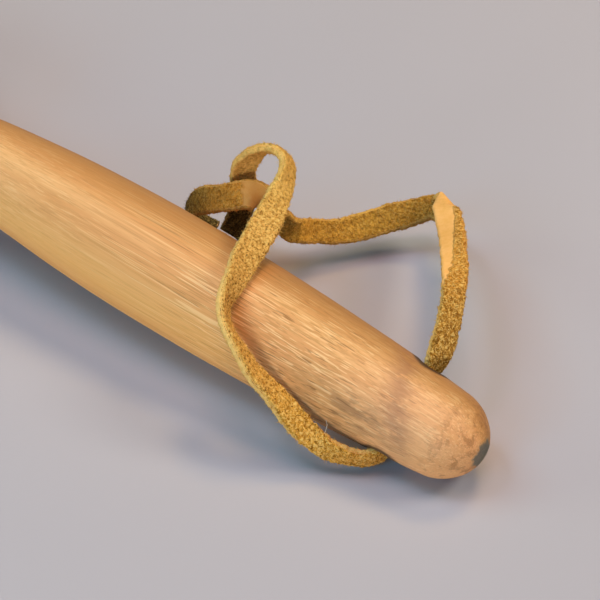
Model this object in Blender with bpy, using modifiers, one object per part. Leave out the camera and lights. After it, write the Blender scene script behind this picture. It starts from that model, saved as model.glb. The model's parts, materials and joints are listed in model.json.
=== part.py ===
# Horn rattle: a turned wooden handle runs through a section of horn that is closed by two
# wooden plugs, with loose pebbles inside and a suede wrist thong through the handle's end.
# Metres, +Z up, the table at z = 0.  The rounded end points along +X, the horn head along -X.
import bmesh
import bpy
from math import atan, cos, hypot, pi, radians, sin, sqrt, tan
from mathutils import Matrix, Vector
from random import Random

# Turned handle: a barrel-shaped grip, measured from its rounded end, and a long tenon
GRIP_LENGTH = 0.172
BELLY_RADIUS = 0.0145
BELLY_FROM_END = 0.092
END_RADIUS = 0.0094
NECK_RADIUS = 0.0090
DOME_DEPTH = 0.0102
TENON_RADIUS = 0.0065

# Cross hole near the rounded end, drilled a little off the axis and worn wider at its mouths
HOLE_FROM_END = 0.021
HOLE_OFF_AXIS = 0.0010
HOLE_RADIUS = 0.0034
HOLE_FLARE = 0.0006
HOLE_FLARE_DEPTH = 0.0035
HOLE_RISE = radians(38.5)

# Horn section: an oval tube, widest at the crown, bowed a little to one side
HORN_LENGTH = 0.094
HORN_WALL = 0.0035
THROAT_HALF_WIDTH = 0.0245
THROAT_HALF_HEIGHT = 0.0225
CROWN_HALF_WIDTH = 0.0340
CROWN_HALF_HEIGHT = 0.0310
HORN_FLARE = 1.25
HORN_BOW = 0.003
RIM_EASE = 0.0006

# Wooden plugs that close both ends of the horn
PLUG_THICKNESS = 0.014
BASE_PLUG_INSET = 0.0010
CROWN_PLUG_PROUD = 0.0012
PLUG_EASE = 0.0008

# Wedge driven into a kerf in the tenon's end
WEDGE_LENGTH = 0.0105
WEDGE_WIDTH = 0.0098
WEDGE_BACK = 0.0022
WEDGE_NOSE = 0.0007

# Round-headed brads through the horn into the plugs
BRADS_PER_PLUG = 4
BRAD_FIRST_ANGLE = radians(45)
BRAD_SHANK_RADIUS = 0.0008
BRAD_SHANK_LENGTH = 0.0085
BRAD_POINT_LENGTH = 0.0015
BRAD_HEAD_RADIUS = 0.0019
BRAD_HEAD_HEIGHT = 0.0010

# Loose pebbles: a row on the horn's floor, out to where it gets steep, and a row on top of it
PEBBLE_RADIUS = 0.0030
PEBBLE_UNEVENNESS = 0.10
PEBBLE_SEED = 7
FLOOR_STEEP = radians(46)
LANE_RISE = 0.012

# Suede lace of the wrist thong
LACE_WIDTH = 0.0060
LACE_THICKNESS = 0.0020
LACE_CORNER = 0.0005
LACE_SPACING = 0.0026

FIT = 0.0003            # gap between pieces that touch
MILLIMETRE = 0.001
MERGE = 0.00001         # points closer than this are one
NUDGE = 0.0005          # step used to measure a slope
SHARP_ANGLE = radians(40)
EASE_SEGMENTS = 2
ROUND_STEPS = 48        # facets round the handle, the horn and the plugs
SMALL_STEPS = 12        # facets round a brad
HEAD_STEPS = 3          # facets from the top of a brad's head to its edge
DOME_STEPS = 9
BARREL_STEPS = 20
HORN_STEPS = 12
PLUG_STEPS = 3
LANE_STEPS = 24
CURVE_STEPS = 16

# Route of the lace in millimetres from the axis at the cross hole, along the table's own axes and
# chosen by eye.  Each place has the way that one side of the lace faces, its share of the width and,
# where the lace is folded on the slant, how far its section leans along it.
NEAR_STRAND = [
    ((0, 0.5, -0.5), (1.0, 0.0, -0.1), 0.90),             # in the hole
    ((0, -3, -3.5), (1.0, 0.0, -0.1), 0.90),
    ((-0.5, -7.5, -7), (0.9, -0.3, -0.2), 0.90),
    ((-2.5, -11.5, -7.5), (0.5, -0.8, -0.2), 0.90),       # out of the near mouth
    ((-6, -14.5, -6.5), (0.2, -1.0, -0.1), 0.88),
    ((-10, -16.5, -5), (0.2, -0.9, 0.3), 0.88),
    ((-16, -17.5, -1.5), (0.45, -0.3, 0.85), 0.99),
    ((-23.5, -17.5, 4), (0.5, 0.2, 0.8), 1.05),           # up the front of the grip
    ((-30, -18, 9), (0.6, 0.5, 0.7), 1.05),
    ((-35, -17, 13), (0.7, 0.6, 0.5), 0.99),
    ((-40.5, -14.5, 15.5), (0.75, 0.6, 0.3), 0.99),
    ((-43, -11.5, 18), (0.85, 0.45, 0.2), 1.05),
    ((-44, -6.5, 20.5), (0.9, 0.1, 0.4), 1.11),           # over the top of the grip
    ((-45.5, -1, 22), (0.7, -0.4, 0.6), 1.17),
    ((-47, 5, 22.5), (0.5, -0.5, 0.7), 1.23),
    ((-49, 12, 23), (0.4, -0.6, 0.7), 1.17),
    ((-51.5, 19.5, 24), (0.7, -0.3, 0.65), 1.05),
    ((-53.5, 25.5, 25.5), (0.9, 0.2, 0.4), 0.93),
    ((-56.5, 29.5, 27), (0.7, 0.7, 0.6), 0.88),           # curl of the knot
    ((-61, 30.5, 27.5), (-0.1, 0.75, 0.75), 0.93),
    ((-64.5, 29.5, 26.5), (-0.75, 0.35, 0.55), 0.99),
    ((-67, 28.5, 23.5), (-0.9, 0.35, -0.2), 1.05),
    ((-69, 28.5, 19.5), (-0.7, 0.5, -0.5), 1.05),
    ((-70.5, 30, 14.5), (-0.5, 0.6, -0.6), 1.05),         # down behind the other strand
    ((-71.5, 31.5, 9), (-0.45, 0.6, -0.65), 1.05),
    ((-72.5, 32, 4), (-0.45, 0.6, -0.65), 1.05),
    ((-74.5, 33, -1), (-0.45, 0.6, -0.65), 1.05),
    ((-75.5, 32.5, -5), (-0.45, 0.6, -0.65), 1.05),
    ((-76.5, 32, -7.5), (-0.45, 0.6, -0.65), 1.00),
]
FAR_STRAND = [
    ((0, 0.5, -0.5), (1.0, 0.0, -0.1), 0.90),
    ((0, 4.5, 2.5), (1.0, 0.0, -0.1), 0.90),
    ((0.5, 8.5, 6), (1.0, -0.1, 0.1), 0.93),
    ((0.5, 12, 9), (0.8, -0.4, 0.4), 1.05),               # out of the far mouth
    ((-0.5, 16, 12.5), (0.75, -0.45, 0.5), 0.99),
    ((-3.5, 22.5, 15), (0.6, -0.4, 0.65), 0.95),
    ((-6, 27, 15), (0.35, -0.3, 0.85), 0.97),
    ((-9, 32, 14), (0.1, -0.25, 0.95), 1.00),
    ((-17, 43.5, 11), (-0.3, -0.2, 0.95), 1.11),
    ((-24, 53, 7.5), (-0.3, -0.2, 0.95), 1.11, -0.4),
    ((-29, 59, 6.5), (-0.3, -0.2, 0.95), 1.11, -1.0),     # folded under itself, on the slant
    ((-30.5, 62, 5), (0.35, 0.9, 0.3), 1.17, -1.0),
    ((-32.5, 62, 2.5), (0.3, 0.3, -0.9), 1.17, -1.0),
    ((-36, 62.5, 1), (-0.1, 0.3, -0.95), 1.17, -0.4),
    ((-39.5, 60.5, -1), (-0.2, 0.4, -0.9), 1.23),
    ((-43, 57, -2), (-0.4, 0.5, -0.8), 1.23),
    ((-47.5, 51, -3), (-0.4, 0.6, -0.7), 1.17),           # back towards the grip
    ((-51.5, 45, -3), (-0.4, 0.6, -0.7), 1.11),
    ((-55.5, 39, -1), (-0.4, 0.6, -0.7), 1.05),
    ((-57.5, 33, 2.5), (-0.1, 0.8, -0.6), 1.05),          # under the other strand
    ((-60.5, 30.5, 7.5), (0.1, 0.9, -0.5), 1.20),
    ((-62, 27.5, 13), (0.1, 0.8, -0.6), 1.30),
    ((-64, 24.5, 16), (0.1, 0.7, -0.8), 1.30),            # round the curl of the knot
    ((-67.5, 22.5, 15), (0.1, 0.7, -0.6), 1.20),
    ((-73.2, 22.9, 11.2), (0.4, 0.8, -0.5), 1.17),
    ((-80.5, 25, 5.5), (0.4, 0.8, -0.4), 1.17),
    ((-84.5, 25.5, 0.5), (0.9, 0.5, -0.1), 1.11),
    ((-86, 27, -3), (0.85, 0.3, 0.4), 1.11),              # tail on the table
    ((-85.5, 29, -6), (0.4, -0.1, 0.8), 1.05),
    ((-84, 30.5, -8), (0.1, -0.1, 0.95), 1.05),
    ((-81.5, 31, -8.5), (0.0, -0.1, 1.0), 1.05),
]

COLOURS = {
    "handle_wood": ((0.60, 0.37, 0.18), 0.55, 0.0),
    "plug_wood": ((0.42, 0.25, 0.12), 0.60, 0.0),
    "horn": ((0.20, 0.14, 0.09), 0.35, 0.0),
    "brass": ((0.52, 0.36, 0.14), 0.40, 1.0),
    "suede": ((0.48, 0.27, 0.08), 0.95, 0.0),
    "stone": ((0.36, 0.34, 0.31), 0.75, 0.0),
}

# Places along the rattle's axis; x = 0 is the handle's shoulder
HORN_CROWN_X = -HORN_LENGTH
BASE_PLUG_OUT_X = -BASE_PLUG_INSET
BASE_PLUG_IN_X = BASE_PLUG_OUT_X - PLUG_THICKNESS
CROWN_PLUG_OUT_X = HORN_CROWN_X - CROWN_PLUG_PROUD
CROWN_PLUG_IN_X = CROWN_PLUG_OUT_X + PLUG_THICKNESS
HOLE_X = GRIP_LENGTH - HOLE_FROM_END
SHOULDER_X = FIT


def grip_radius(from_end):
    # the barrel falls away from its belly as a parabola, and the end is an elliptic dome
    if from_end < BELLY_FROM_END:
        drop = (BELLY_RADIUS - END_RADIUS) * (1 - from_end / BELLY_FROM_END) ** 2
    else:
        past = (from_end - BELLY_FROM_END) / (GRIP_LENGTH - BELLY_FROM_END)
        drop = (BELLY_RADIUS - NECK_RADIUS) * past ** 2
    radius = BELLY_RADIUS - drop
    if from_end < DOME_DEPTH:
        radius *= sqrt(1 - (1 - from_end / DOME_DEPTH) ** 2)
    return radius


def grip_profile():
    # (x, radius) from the tip to the shoulder
    dome = [DOME_DEPTH * (1 - cos(pi / 2 * k / DOME_STEPS)) for k in range(DOME_STEPS)]
    run = GRIP_LENGTH - SHOULDER_X - DOME_DEPTH
    barrel = [DOME_DEPTH + run * k / BARREL_STEPS for k in range(BARREL_STEPS + 1)]
    return [(GRIP_LENGTH - s, grip_radius(s)) for s in dome + barrel]


def horn_section(x, inset=0.0):
    # sideways centre, half width and half height of the horn at x
    t = min(max(x / HORN_CROWN_X, 0.0), 1.0)
    spread = t ** HORN_FLARE
    width = THROAT_HALF_WIDTH + (CROWN_HALF_WIDTH - THROAT_HALF_WIDTH) * spread
    height = THROAT_HALF_HEIGHT + (CROWN_HALF_HEIGHT - THROAT_HALF_HEIGHT) * spread
    return 4 * HORN_BOW * t * (1 - t), width - inset, height - inset


def horn_point(x, angle):
    centre, width, height = horn_section(x)
    return Vector((x, centre + width * cos(angle), height * sin(angle)))


def resting_place():
    # the rattle lies on the lowest point of its eased crown rim and on the underside of its grip
    rim_x = HORN_CROWN_X + RIM_EASE
    rim_height = horn_section(rim_x)[2]
    tilt = min(atan((rim_height - radius) / (x - rim_x)) for x, radius in grip_profile())
    turn = Matrix.Rotation(tilt, 4, "Y")
    front = max((turn @ Vector((x, 0, radius))).x for x, radius in grip_profile())
    plug_rim = horn_section(CROWN_PLUG_OUT_X, HORN_WALL + FIT + PLUG_EASE)[2]
    back = (turn @ Vector((CROWN_PLUG_OUT_X, 0, -plug_rim))).x
    floor = (turn @ Vector((rim_x, 0, -rim_height))).z
    return tilt, Vector((-(front + back) / 2, 0, -floor))


def clear_scene():
    for item in list(bpy.data.objects):
        bpy.data.objects.remove(item, do_unlink=True)


def new_collection(name):
    group = bpy.data.collections.new(name)
    bpy.context.scene.collection.children.link(group)
    return group


def make_materials():
    made = {}
    for name, (colour, roughness, metallic) in COLOURS.items():
        material = bpy.data.materials.new(name)
        material.use_nodes = True
        shader = material.node_tree.nodes["Principled BSDF"]
        shader.inputs["Base Color"].default_value = (*colour, 1.0)
        shader.inputs["Roughness"].default_value = roughness
        shader.inputs["Metallic"].default_value = metallic
        made[name] = material
    return made


def add_object(name, mesh, material, parent):
    item = bpy.data.objects.new(name, mesh)
    if material:
        mesh.materials.append(materials[material])
        parts.objects.link(item)
    else:
        item.hide_render = True
        item.display_type = "WIRE"
        cutters.objects.link(item)
    item.parent = parent
    return item


def mesh_from(bm, name):
    bmesh.ops.recalc_face_normals(bm, faces=bm.faces)
    mesh = bpy.data.meshes.new(name)
    bm.to_mesh(mesh)
    bm.free()
    mesh.shade_smooth()
    mesh.set_sharp_from_angle(angle=SHARP_ANGLE)
    return mesh


def turned(name, profile, steps, material, parent):
    # profile of (radius, z) from top to bottom, spun about Z
    mesh = bpy.data.meshes.new(name)
    points = [(radius, 0, z) for radius, z in profile]
    mesh.from_pydata(points, [(k, k + 1) for k in range(len(points) - 1)], [])
    item = add_object(name, mesh, material, parent)
    screw = item.modifiers.new("turn", "SCREW")
    screw.steps = steps
    screw.render_steps = steps
    screw.use_merge_vertices = True
    screw.merge_threshold = MERGE
    return item


def cut(item, cutter):
    saw = item.modifiers.new(cutter.name, "BOOLEAN")
    saw.operation = "DIFFERENCE"
    saw.object = cutter


def ease_edges(item, width):
    round_off = item.modifiers.new("eased_edges", "BEVEL")
    round_off.width = width
    round_off.segments = EASE_SEGMENTS
    round_off.limit_method = "ANGLE"
    round_off.angle_limit = SHARP_ANGLE


def oval_tube(name, stations, inset, closed):
    # rings of the horn's own oval, bridged from station to station
    bm = bmesh.new()
    last = None
    for k, x in enumerate(stations):
        centre, width, height = horn_section(x, inset)
        place = Matrix.Translation((x, centre, 0)) @ Matrix.Rotation(pi / 2, 4, "Y")
        place = place @ Matrix.Diagonal((height, width, 1, 1))
        capped = closed and k in (0, len(stations) - 1)
        ring = bmesh.ops.create_circle(bm, segments=ROUND_STEPS, radius=1, cap_ends=capped, matrix=place)
        corners = set(ring["verts"])
        edges = [e for e in bm.edges if e.verts[0] in corners and e.verts[1] in corners]
        if last:
            bmesh.ops.bridge_loops(bm, edges=last + edges)
        last = edges
    return mesh_from(bm, name)


def spaced(start, end, steps):
    return [start + (end - start) * k / steps for k in range(steps + 1)]


def make_handle():
    grip = [(radius, x) for x, radius in grip_profile()]
    tenon = [(TENON_RADIUS, SHOULDER_X), (TENON_RADIUS, CROWN_PLUG_OUT_X), (0.0, CROWN_PLUG_OUT_X)]
    handle = turned("handle", grip + tenon, ROUND_STEPS, "handle_wood", axis)
    handle.rotation_euler.y = pi / 2

    reach = BELLY_RADIUS
    mouth = grip_radius(HOLE_FROM_END)
    waist = mouth - HOLE_FLARE_DEPTH
    slope = HOLE_FLARE / HOLE_FLARE_DEPTH
    wide = HOLE_RADIUS + slope * (reach - waist)
    spool = [(0.0, reach), (wide, reach), (HOLE_RADIUS, waist)]
    spool += [(radius, -z) for radius, z in reversed(spool)]
    drill = turned("cross_hole_cutter", spool, ROUND_STEPS // 2, None, axis)
    drill.location = (HOLE_X, HOLE_OFF_AXIS * sin(HOLE_RISE), -HOLE_OFF_AXIS * cos(HOLE_RISE))
    drill.rotation_euler.x = HOLE_RISE - pi / 2
    cut(handle, drill)
    cut(handle, make_wedge("kerf_cutter", FIT, None))


def make_wedge(name, grow, material):
    # thick at the crown, thin at its nose; the kerf is the same shape with the fit added
    bm = bmesh.new()
    bmesh.ops.create_cube(bm, size=1)
    for v in bm.verts:
        outside = v.co.x < 0
        thickness = WEDGE_BACK if outside else WEDGE_NOSE
        v.co.x = CROWN_PLUG_OUT_X - grow if outside else CROWN_PLUG_OUT_X + WEDGE_LENGTH + grow
        v.co.y *= thickness + 2 * grow
        v.co.z *= WEDGE_WIDTH + 2 * grow
    return add_object(name, mesh_from(bm, name), material, axis)


def make_horn():
    mesh = oval_tube("horn_shell", spaced(0.0, HORN_CROWN_X, HORN_STEPS), 0.0, False)
    horn = add_object("horn_shell", mesh, "horn", axis)
    shell = horn.modifiers.new("wall", "SOLIDIFY")
    shell.thickness = HORN_WALL
    shell.offset = -1
    shell.use_even_offset = True
    ease_edges(horn, RIM_EASE)
    return horn


def make_plug(name, outside, inside):
    mesh = oval_tube(name, spaced(outside, inside, PLUG_STEPS), HORN_WALL + FIT, True)
    plug = add_object(name, mesh, "plug_wood", axis)
    ease_edges(plug, PLUG_EASE)
    length = abs(inside - outside) + 2 * PLUG_THICKNESS
    bm = bmesh.new()
    bmesh.ops.create_cone(bm, cap_ends=True, segments=ROUND_STEPS, depth=length,
                          radius1=TENON_RADIUS + FIT, radius2=TENON_RADIUS + FIT)
    bore = add_object(name + "_bore_cutter", mesh_from(bm, name + "_bore_cutter"), None, axis)
    bore.location.x = (outside + inside) / 2
    bore.rotation_euler.y = pi / 2
    cut(plug, bore)
    return plug


def brad_profile():
    # domed head, straight shank and point; z = 0 is the underside of the head
    turns = [pi / 2 * k / HEAD_STEPS for k in range(HEAD_STEPS + 1)]
    head = [(BRAD_HEAD_RADIUS * sin(turn), BRAD_HEAD_HEIGHT * cos(turn)) for turn in turns]
    shank = [(BRAD_SHANK_RADIUS, 0.0), (BRAD_SHANK_RADIUS, -BRAD_SHANK_LENGTH)]
    return head + shank + [(0.0, -BRAD_SHANK_LENGTH - BRAD_POINT_LENGTH)]


def drill_profile():
    # reaches from above the brad's head to below its point
    radius = BRAD_SHANK_RADIUS + FIT
    depth = BRAD_SHANK_LENGTH + BRAD_POINT_LENGTH
    return [(0.0, BRAD_HEAD_RADIUS), (radius, BRAD_HEAD_RADIUS), (radius, -depth), (0.0, -depth)]


def make_brads(plug_name, horn, plug, x):
    for k in range(BRADS_PER_PLUG):
        angle = BRAD_FIRST_ANGLE + 2 * pi * k / BRADS_PER_PLUG
        seat = horn_point(x, angle)
        along = horn_point(x + NUDGE, angle) - horn_point(x - NUDGE, angle)
        around = horn_point(x, angle - NUDGE) - horn_point(x, angle + NUDGE)
        outward = along.cross(around).normalized()
        turn = outward.to_track_quat("Z", "Y").to_euler()
        name = f"{plug_name}_brad_{k + 1}"
        brad = turned(name, brad_profile(), SMALL_STEPS, "brass", axis)
        brad.location = seat + outward * FIT
        brad.rotation_euler = turn
        cutter = turned(name + "_cutter", drill_profile(), SMALL_STEPS, None, axis)
        cutter.location = seat
        cutter.rotation_euler = turn
        cut(horn, cutter)
        cut(plug, cutter)


def floor_height(x, y):
    # height of a pebble's middle that lies on the horn's floor: the inner oval, drawn in by its radius
    centre, width, height = horn_section(x, HORN_WALL + PEBBLE_RADIUS + FIT)
    return -height * sqrt(1 - ((y - centre) / width) ** 2)


def upper_height(x, y, lower):
    # height of a pebble's middle that lies on the two lanes of the lower row beside it
    apart = 2 * PEBBLE_RADIUS + FIT
    best = floor_height(x, y)
    for aside, start, end in lower:
        if abs(y - aside) < apart:
            share = (x - start[0]) / (end[0] - start[0])
            height = start[1] + (end[1] - start[1]) * share
            best = max(best, height + sqrt(apart ** 2 - (y - aside) ** 2))
    return best


def straight_lane(y, first, last, height_at):
    # a straight way from the crown plug towards the base plug that stays clear all along and
    # climbs a little, so a pebble at rest lies at the crown
    start, end = height_at(first, y), height_at(last, y)
    short = 0.0
    for x in spaced(first, last, LANE_STEPS):
        share = (x - first) / (last - first)
        short = max(short, height_at(x, y) - start - (end - start) * share)
    start += short
    climb = (last - first) * (tan(tilt) + LANE_RISE)
    return y, (first, start), (last, max(end + short, start + climb))


def pebble_lanes():
    first = CROWN_PLUG_IN_X + PEBBLE_RADIUS + FIT
    last = BASE_PLUG_IN_X - PEBBLE_RADIUS - FIT
    pitch = 2 * (PEBBLE_RADIUS + FIT)
    half_heap = horn_section(last, HORN_WALL + PEBBLE_RADIUS + FIT)[1] * sin(FLOOR_STEEP)
    each_side = int(half_heap / pitch)
    lower = []
    for k in range(-each_side, each_side + 1):
        lower.append(straight_lane(pitch * k, first, last, floor_height))

    def height_at(x, y):
        return upper_height(x, y, lower)

    tenon_clear = TENON_RADIUS + PEBBLE_RADIUS + 2 * FIT
    upper = []
    for k in range(-each_side, each_side):
        y = pitch * (k + 0.5)
        stops = [x for x in spaced(first, last, LANE_STEPS) if hypot(y, height_at(x, y)) > tenon_clear]
        upper.append(straight_lane(y, first, stops[-1], height_at))
    return lower + upper


def lane_point(y, stop):
    x, height = stop
    return Vector((x, y, height))


def make_pebbles():
    shape = Random(PEBBLE_SEED)
    for k, (y, start, end) in enumerate(pebble_lanes()):
        name = f"pebble_{k + 1:02d}"
        bm = bmesh.new()
        bmesh.ops.create_icosphere(bm, subdivisions=2, radius=PEBBLE_RADIUS)
        squeeze = [1 - PEBBLE_UNEVENNESS * shape.random() for side in "xyz"]
        bmesh.ops.scale(bm, vec=squeeze, verts=bm.verts)
        pebble = add_object(name, mesh_from(bm, name), "stone", axis)
        pebble.location = lane_point(y, start)
        travel = lane_point(y, end) - lane_point(y, start)
        way = (axis.matrix_world.to_3x3() @ travel).normalized()
        print(name, "travels", round(travel.length, 5), "along", [round(c, 5) for c in way])


def curve_point(four, share):
    # centripetal Catmull-Rom point between the second and third of four places
    knots = [0.0]
    for a, b in zip(four, four[1:]):
        knots.append(knots[-1] + sqrt((b - a).length))
    t = knots[1] + (knots[2] - knots[1]) * share
    row = list(four)
    for width in (1, 2, 3):
        spans = [(knots[j], knots[j + width]) for j in range(4 - width)]
        if width == 3:
            spans = [(knots[1], knots[2])]
        row = [row[j].lerp(row[j + 1], (t - low) / (high - low)) for j, (low, high) in enumerate(spans)]
    return row[0]


def smooth_route(route, spacing):
    # places at an even spacing on one smooth curve, each with the way that its side
    # faces, its width and the lean of its section
    places = [Vector(entry[0]) * MILLIMETRE for entry in route]
    faces = [Vector(entry[1]).normalized() for entry in route]
    widths = [entry[2] for entry in route]
    leans = [entry[3] if len(entry) > 3 else 0.0 for entry in route]
    ends = [places[0] * 2 - places[1]] + places + [places[-1] * 2 - places[-2]]
    fine = []
    for k in range(len(places) - 1):
        for step in range(CURVE_STEPS):
            share = step / CURVE_STEPS
            width = widths[k] + (widths[k + 1] - widths[k]) * share
            lean = leans[k] + (leans[k + 1] - leans[k]) * share
            fine.append((curve_point(ends[k:k + 4], share), faces[k].lerp(faces[k + 1], share), width, lean))
    fine.append((places[-1], faces[-1], widths[-1], leans[-1]))
    run = [0.0]
    for a, b in zip(fine, fine[1:]):
        run.append(run[-1] + (b[0] - a[0]).length)
    count = round(run[-1] / spacing)
    even = []
    for k in range(count + 1):
        at = run[-1] * k / count
        j = min(max(i for i in range(len(run)) if run[i] <= at), len(run) - 2)
        share = (at - run[j]) / (run[j + 1] - run[j])
        (place, face, width, lean), (next_place, next_face, next_width, next_lean) = fine[j], fine[j + 1]
        width += (next_width - width) * share
        lean += (next_lean - lean) * share
        even.append((place.lerp(next_place, share), face.lerp(next_face, share), width, lean))
    print("lace length", round(run[-1], 4))
    return even


def lace_outline(width):
    # half of the lace's section, mirrored: a flat strip with eased corners
    wide, thick = LACE_WIDTH / 2 * width, LACE_THICKNESS / 2
    quarter = [(wide, thick - LACE_CORNER), (wide - LACE_CORNER, thick)]
    half = quarter + [(-a, b) for a, b in reversed(quarter)]
    return half + [(-a, -b) for a, b in half]


def make_thong(hole_middle):
    stops = smooth_route(NEAR_STRAND[::-1] + FAR_STRAND[1:], LACE_SPACING)
    bm = bmesh.new()
    last = None
    for k, (place, face, width, lean) in enumerate(stops):
        before, after = stops[max(k - 1, 0)][0], stops[min(k + 1, len(stops) - 1)][0]
        along = (after - before).normalized()
        face = (face - along * face.dot(along)).normalized()
        across = along.cross(face) + along * lean
        ring = [bm.verts.new(place + across * a + face * b) for a, b in lace_outline(width)]
        if last:
            for j in range(len(ring)):
                bm.faces.new((last[j - 1], last[j], ring[j], ring[j - 1]))
        if k in (0, len(stops) - 1):
            bm.faces.new(ring)
        last = ring
    thong = add_object("wrist_thong", mesh_from(bm, "wrist_thong"), "suede", None)
    thong.location = hole_middle


clear_scene()
parts = new_collection("horn_rattle")
cutters = new_collection("horn_rattle_cutters")
materials = make_materials()

# the rattle's axis: every rigid piece hangs on it, so the whole rattle tips with it
tilt, shoulder = resting_place()
axis = bpy.data.objects.new("rattle_axis", None)
axis.rotation_euler.y = tilt
axis.location = shoulder
parts.objects.link(axis)
bpy.context.view_layer.update()

make_handle()
horn = make_horn()
base_plug = make_plug("base_plug", BASE_PLUG_OUT_X, BASE_PLUG_IN_X)
crown_plug = make_plug("crown_plug", CROWN_PLUG_OUT_X, CROWN_PLUG_IN_X)
make_wedge("tenon_wedge", 0.0, "plug_wood")
make_brads("base", horn, base_plug, (BASE_PLUG_OUT_X + BASE_PLUG_IN_X) / 2)
make_brads("crown", horn, crown_plug, (CROWN_PLUG_OUT_X + CROWN_PLUG_IN_X) / 2)
make_pebbles()
make_thong(axis.matrix_world @ Vector((HOLE_X, 0, 0)))
print("tilt", round(tilt, 5), "shoulder", [round(c, 5) for c in shoulder])
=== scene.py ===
import json
import math
import random

import bmesh
import bpy
from mathutils import Matrix, Vector, noise


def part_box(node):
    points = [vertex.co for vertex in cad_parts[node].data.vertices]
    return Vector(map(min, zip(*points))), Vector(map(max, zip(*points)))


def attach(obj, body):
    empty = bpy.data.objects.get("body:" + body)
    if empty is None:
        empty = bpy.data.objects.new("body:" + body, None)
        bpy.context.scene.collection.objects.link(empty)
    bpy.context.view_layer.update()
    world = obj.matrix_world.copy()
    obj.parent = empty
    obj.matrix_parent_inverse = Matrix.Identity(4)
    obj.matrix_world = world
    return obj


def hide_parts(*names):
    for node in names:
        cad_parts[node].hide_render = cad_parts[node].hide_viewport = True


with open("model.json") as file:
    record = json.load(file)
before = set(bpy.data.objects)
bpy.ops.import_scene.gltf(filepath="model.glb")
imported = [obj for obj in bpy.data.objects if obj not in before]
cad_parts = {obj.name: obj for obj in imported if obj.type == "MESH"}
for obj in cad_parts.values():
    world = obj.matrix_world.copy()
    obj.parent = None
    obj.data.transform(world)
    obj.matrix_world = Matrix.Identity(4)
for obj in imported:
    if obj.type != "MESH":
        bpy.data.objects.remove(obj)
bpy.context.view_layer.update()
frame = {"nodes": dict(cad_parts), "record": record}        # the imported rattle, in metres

mm = 0.001
perMetre = 1000          # millimetres
mergeDistance = 0.000002
sharpAngle = 40          # degrees past which an edge counts as sharp
scene = bpy.context.scene


# the rattle's own axis, read from the flat face that closes its head
axisSpec = {"faceAboveAxis": 0.018, "crownFromShoulder": 0.0952}


def findAxis():
    mounts = frame["record"]["mounts"]
    face = next(m for m in mounts if m["name"] == "crown_face")
    along = -Vector(face["axis"]).normalized()
    side = Vector((0, 1, 0))
    up = along.cross(side)
    shoulder = Vector(face["pos_m"]) - up * axisSpec["faceAboveAxis"]
    shoulder += along * axisSpec["crownFromShoulder"]
    turn = Matrix((along, side, up)).transposed().to_4x4()
    return Matrix.Translation(shoulder) @ turn


axisFrame = findAxis()   # from the rattle's axis (x = 0 at the handle's shoulder) to the table
axisTilt = -math.asin(axisFrame.col[0].z)
print("axis tilt", round(axisTilt, 5), "shoulder", [round(c, 5) for c in axisFrame.translation])


# camera, at the photograph's angle
cameraSpec = {
    "azimuth": 37.065,
    "elevation": 42.0,
    "distance": 0.43065,
    "fieldOfView": 18.0,
    "target": (0.0831, 0.0, 0.0288),
    "clip": (0.01, 20),
}


def placeCamera(spec):
    turn, rise = math.radians(spec["azimuth"]), math.radians(spec["elevation"])
    back = Vector((math.sin(turn) * math.cos(rise), -math.cos(turn) * math.cos(rise), math.sin(rise)))
    bpy.ops.object.camera_add(location=Vector(spec["target"]) + back * spec["distance"])
    camera = bpy.context.object
    camera.rotation_euler = (-back).to_track_quat("-Z", "Y").to_euler()
    camera.data.angle = math.radians(spec["fieldOfView"])
    camera.data.clip_start, camera.data.clip_end = spec["clip"]
    scene.camera = camera


placeCamera(cameraSpec)
print("camera placed")


# small helpers for modelling by hand
def deselectAll():
    if bpy.context.object and bpy.context.object.mode != "OBJECT":
        bpy.ops.object.mode_set(mode="OBJECT")
    bpy.ops.object.select_all(action="DESELECT")


def pick(piece):
    deselectAll()
    piece.select_set(True)
    bpy.context.view_layer.objects.active = piece


def applyPlace(piece):
    pick(piece)
    bpy.ops.object.transform_apply(location=True, rotation=True, scale=True)


def addModifier(piece, kind, **settings):
    modifier = piece.modifiers.new(kind.lower(), kind)
    for name, value in settings.items():
        setattr(modifier, name, value)
    pick(piece)
    bpy.ops.object.modifier_apply(modifier=modifier.name)


def easeEdges(piece, width, segments):
    addModifier(piece, "BEVEL", width=width, segments=segments, limit_method="ANGLE",
                angle_limit=math.radians(sharpAngle))


def cutOut(piece, cutter):
    addModifier(piece, "BOOLEAN", operation="DIFFERENCE", object=cutter, solver="EXACT")
    bpy.data.objects.remove(cutter, do_unlink=True)


def smoothShade(piece, angle=sharpAngle):
    pick(piece)
    bpy.ops.object.shade_smooth_by_angle(angle=math.radians(angle))


def closeShell():
    # merges doubles, turns all faces outwards and leaves edit mode
    bpy.ops.mesh.select_all(action="SELECT")
    bpy.ops.mesh.remove_doubles(threshold=mergeDistance)
    bpy.ops.mesh.normals_make_consistent(inside=False)
    bpy.ops.object.mode_set(mode="OBJECT")


def turnOnLathe(name, profile, steps):
    # a profile of (x, radius) drawn point by point, then spun about the x axis
    deselectAll()
    bpy.ops.mesh.primitive_plane_add(size=mm)
    piece = bpy.context.object
    piece.name = name
    bpy.ops.object.mode_set(mode="EDIT")
    bpy.ops.mesh.select_mode(type="VERT")
    bpy.ops.mesh.select_all(action="SELECT")
    bpy.ops.mesh.merge(type="CENTER")
    bpy.ops.transform.translate(value=(profile[0][0], 0, profile[0][1]))
    for (xa, ra), (xb, rb) in zip(profile, profile[1:]):
        bpy.ops.mesh.extrude_region_move(TRANSFORM_OT_translate={"value": (xb - xa, 0, rb - ra)})
    bpy.ops.mesh.select_all(action="SELECT")
    bpy.ops.mesh.spin(steps=steps, angle=2 * math.pi, center=(0, 0, 0), axis=(1, 0, 0))
    closeShell()
    return piece


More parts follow.
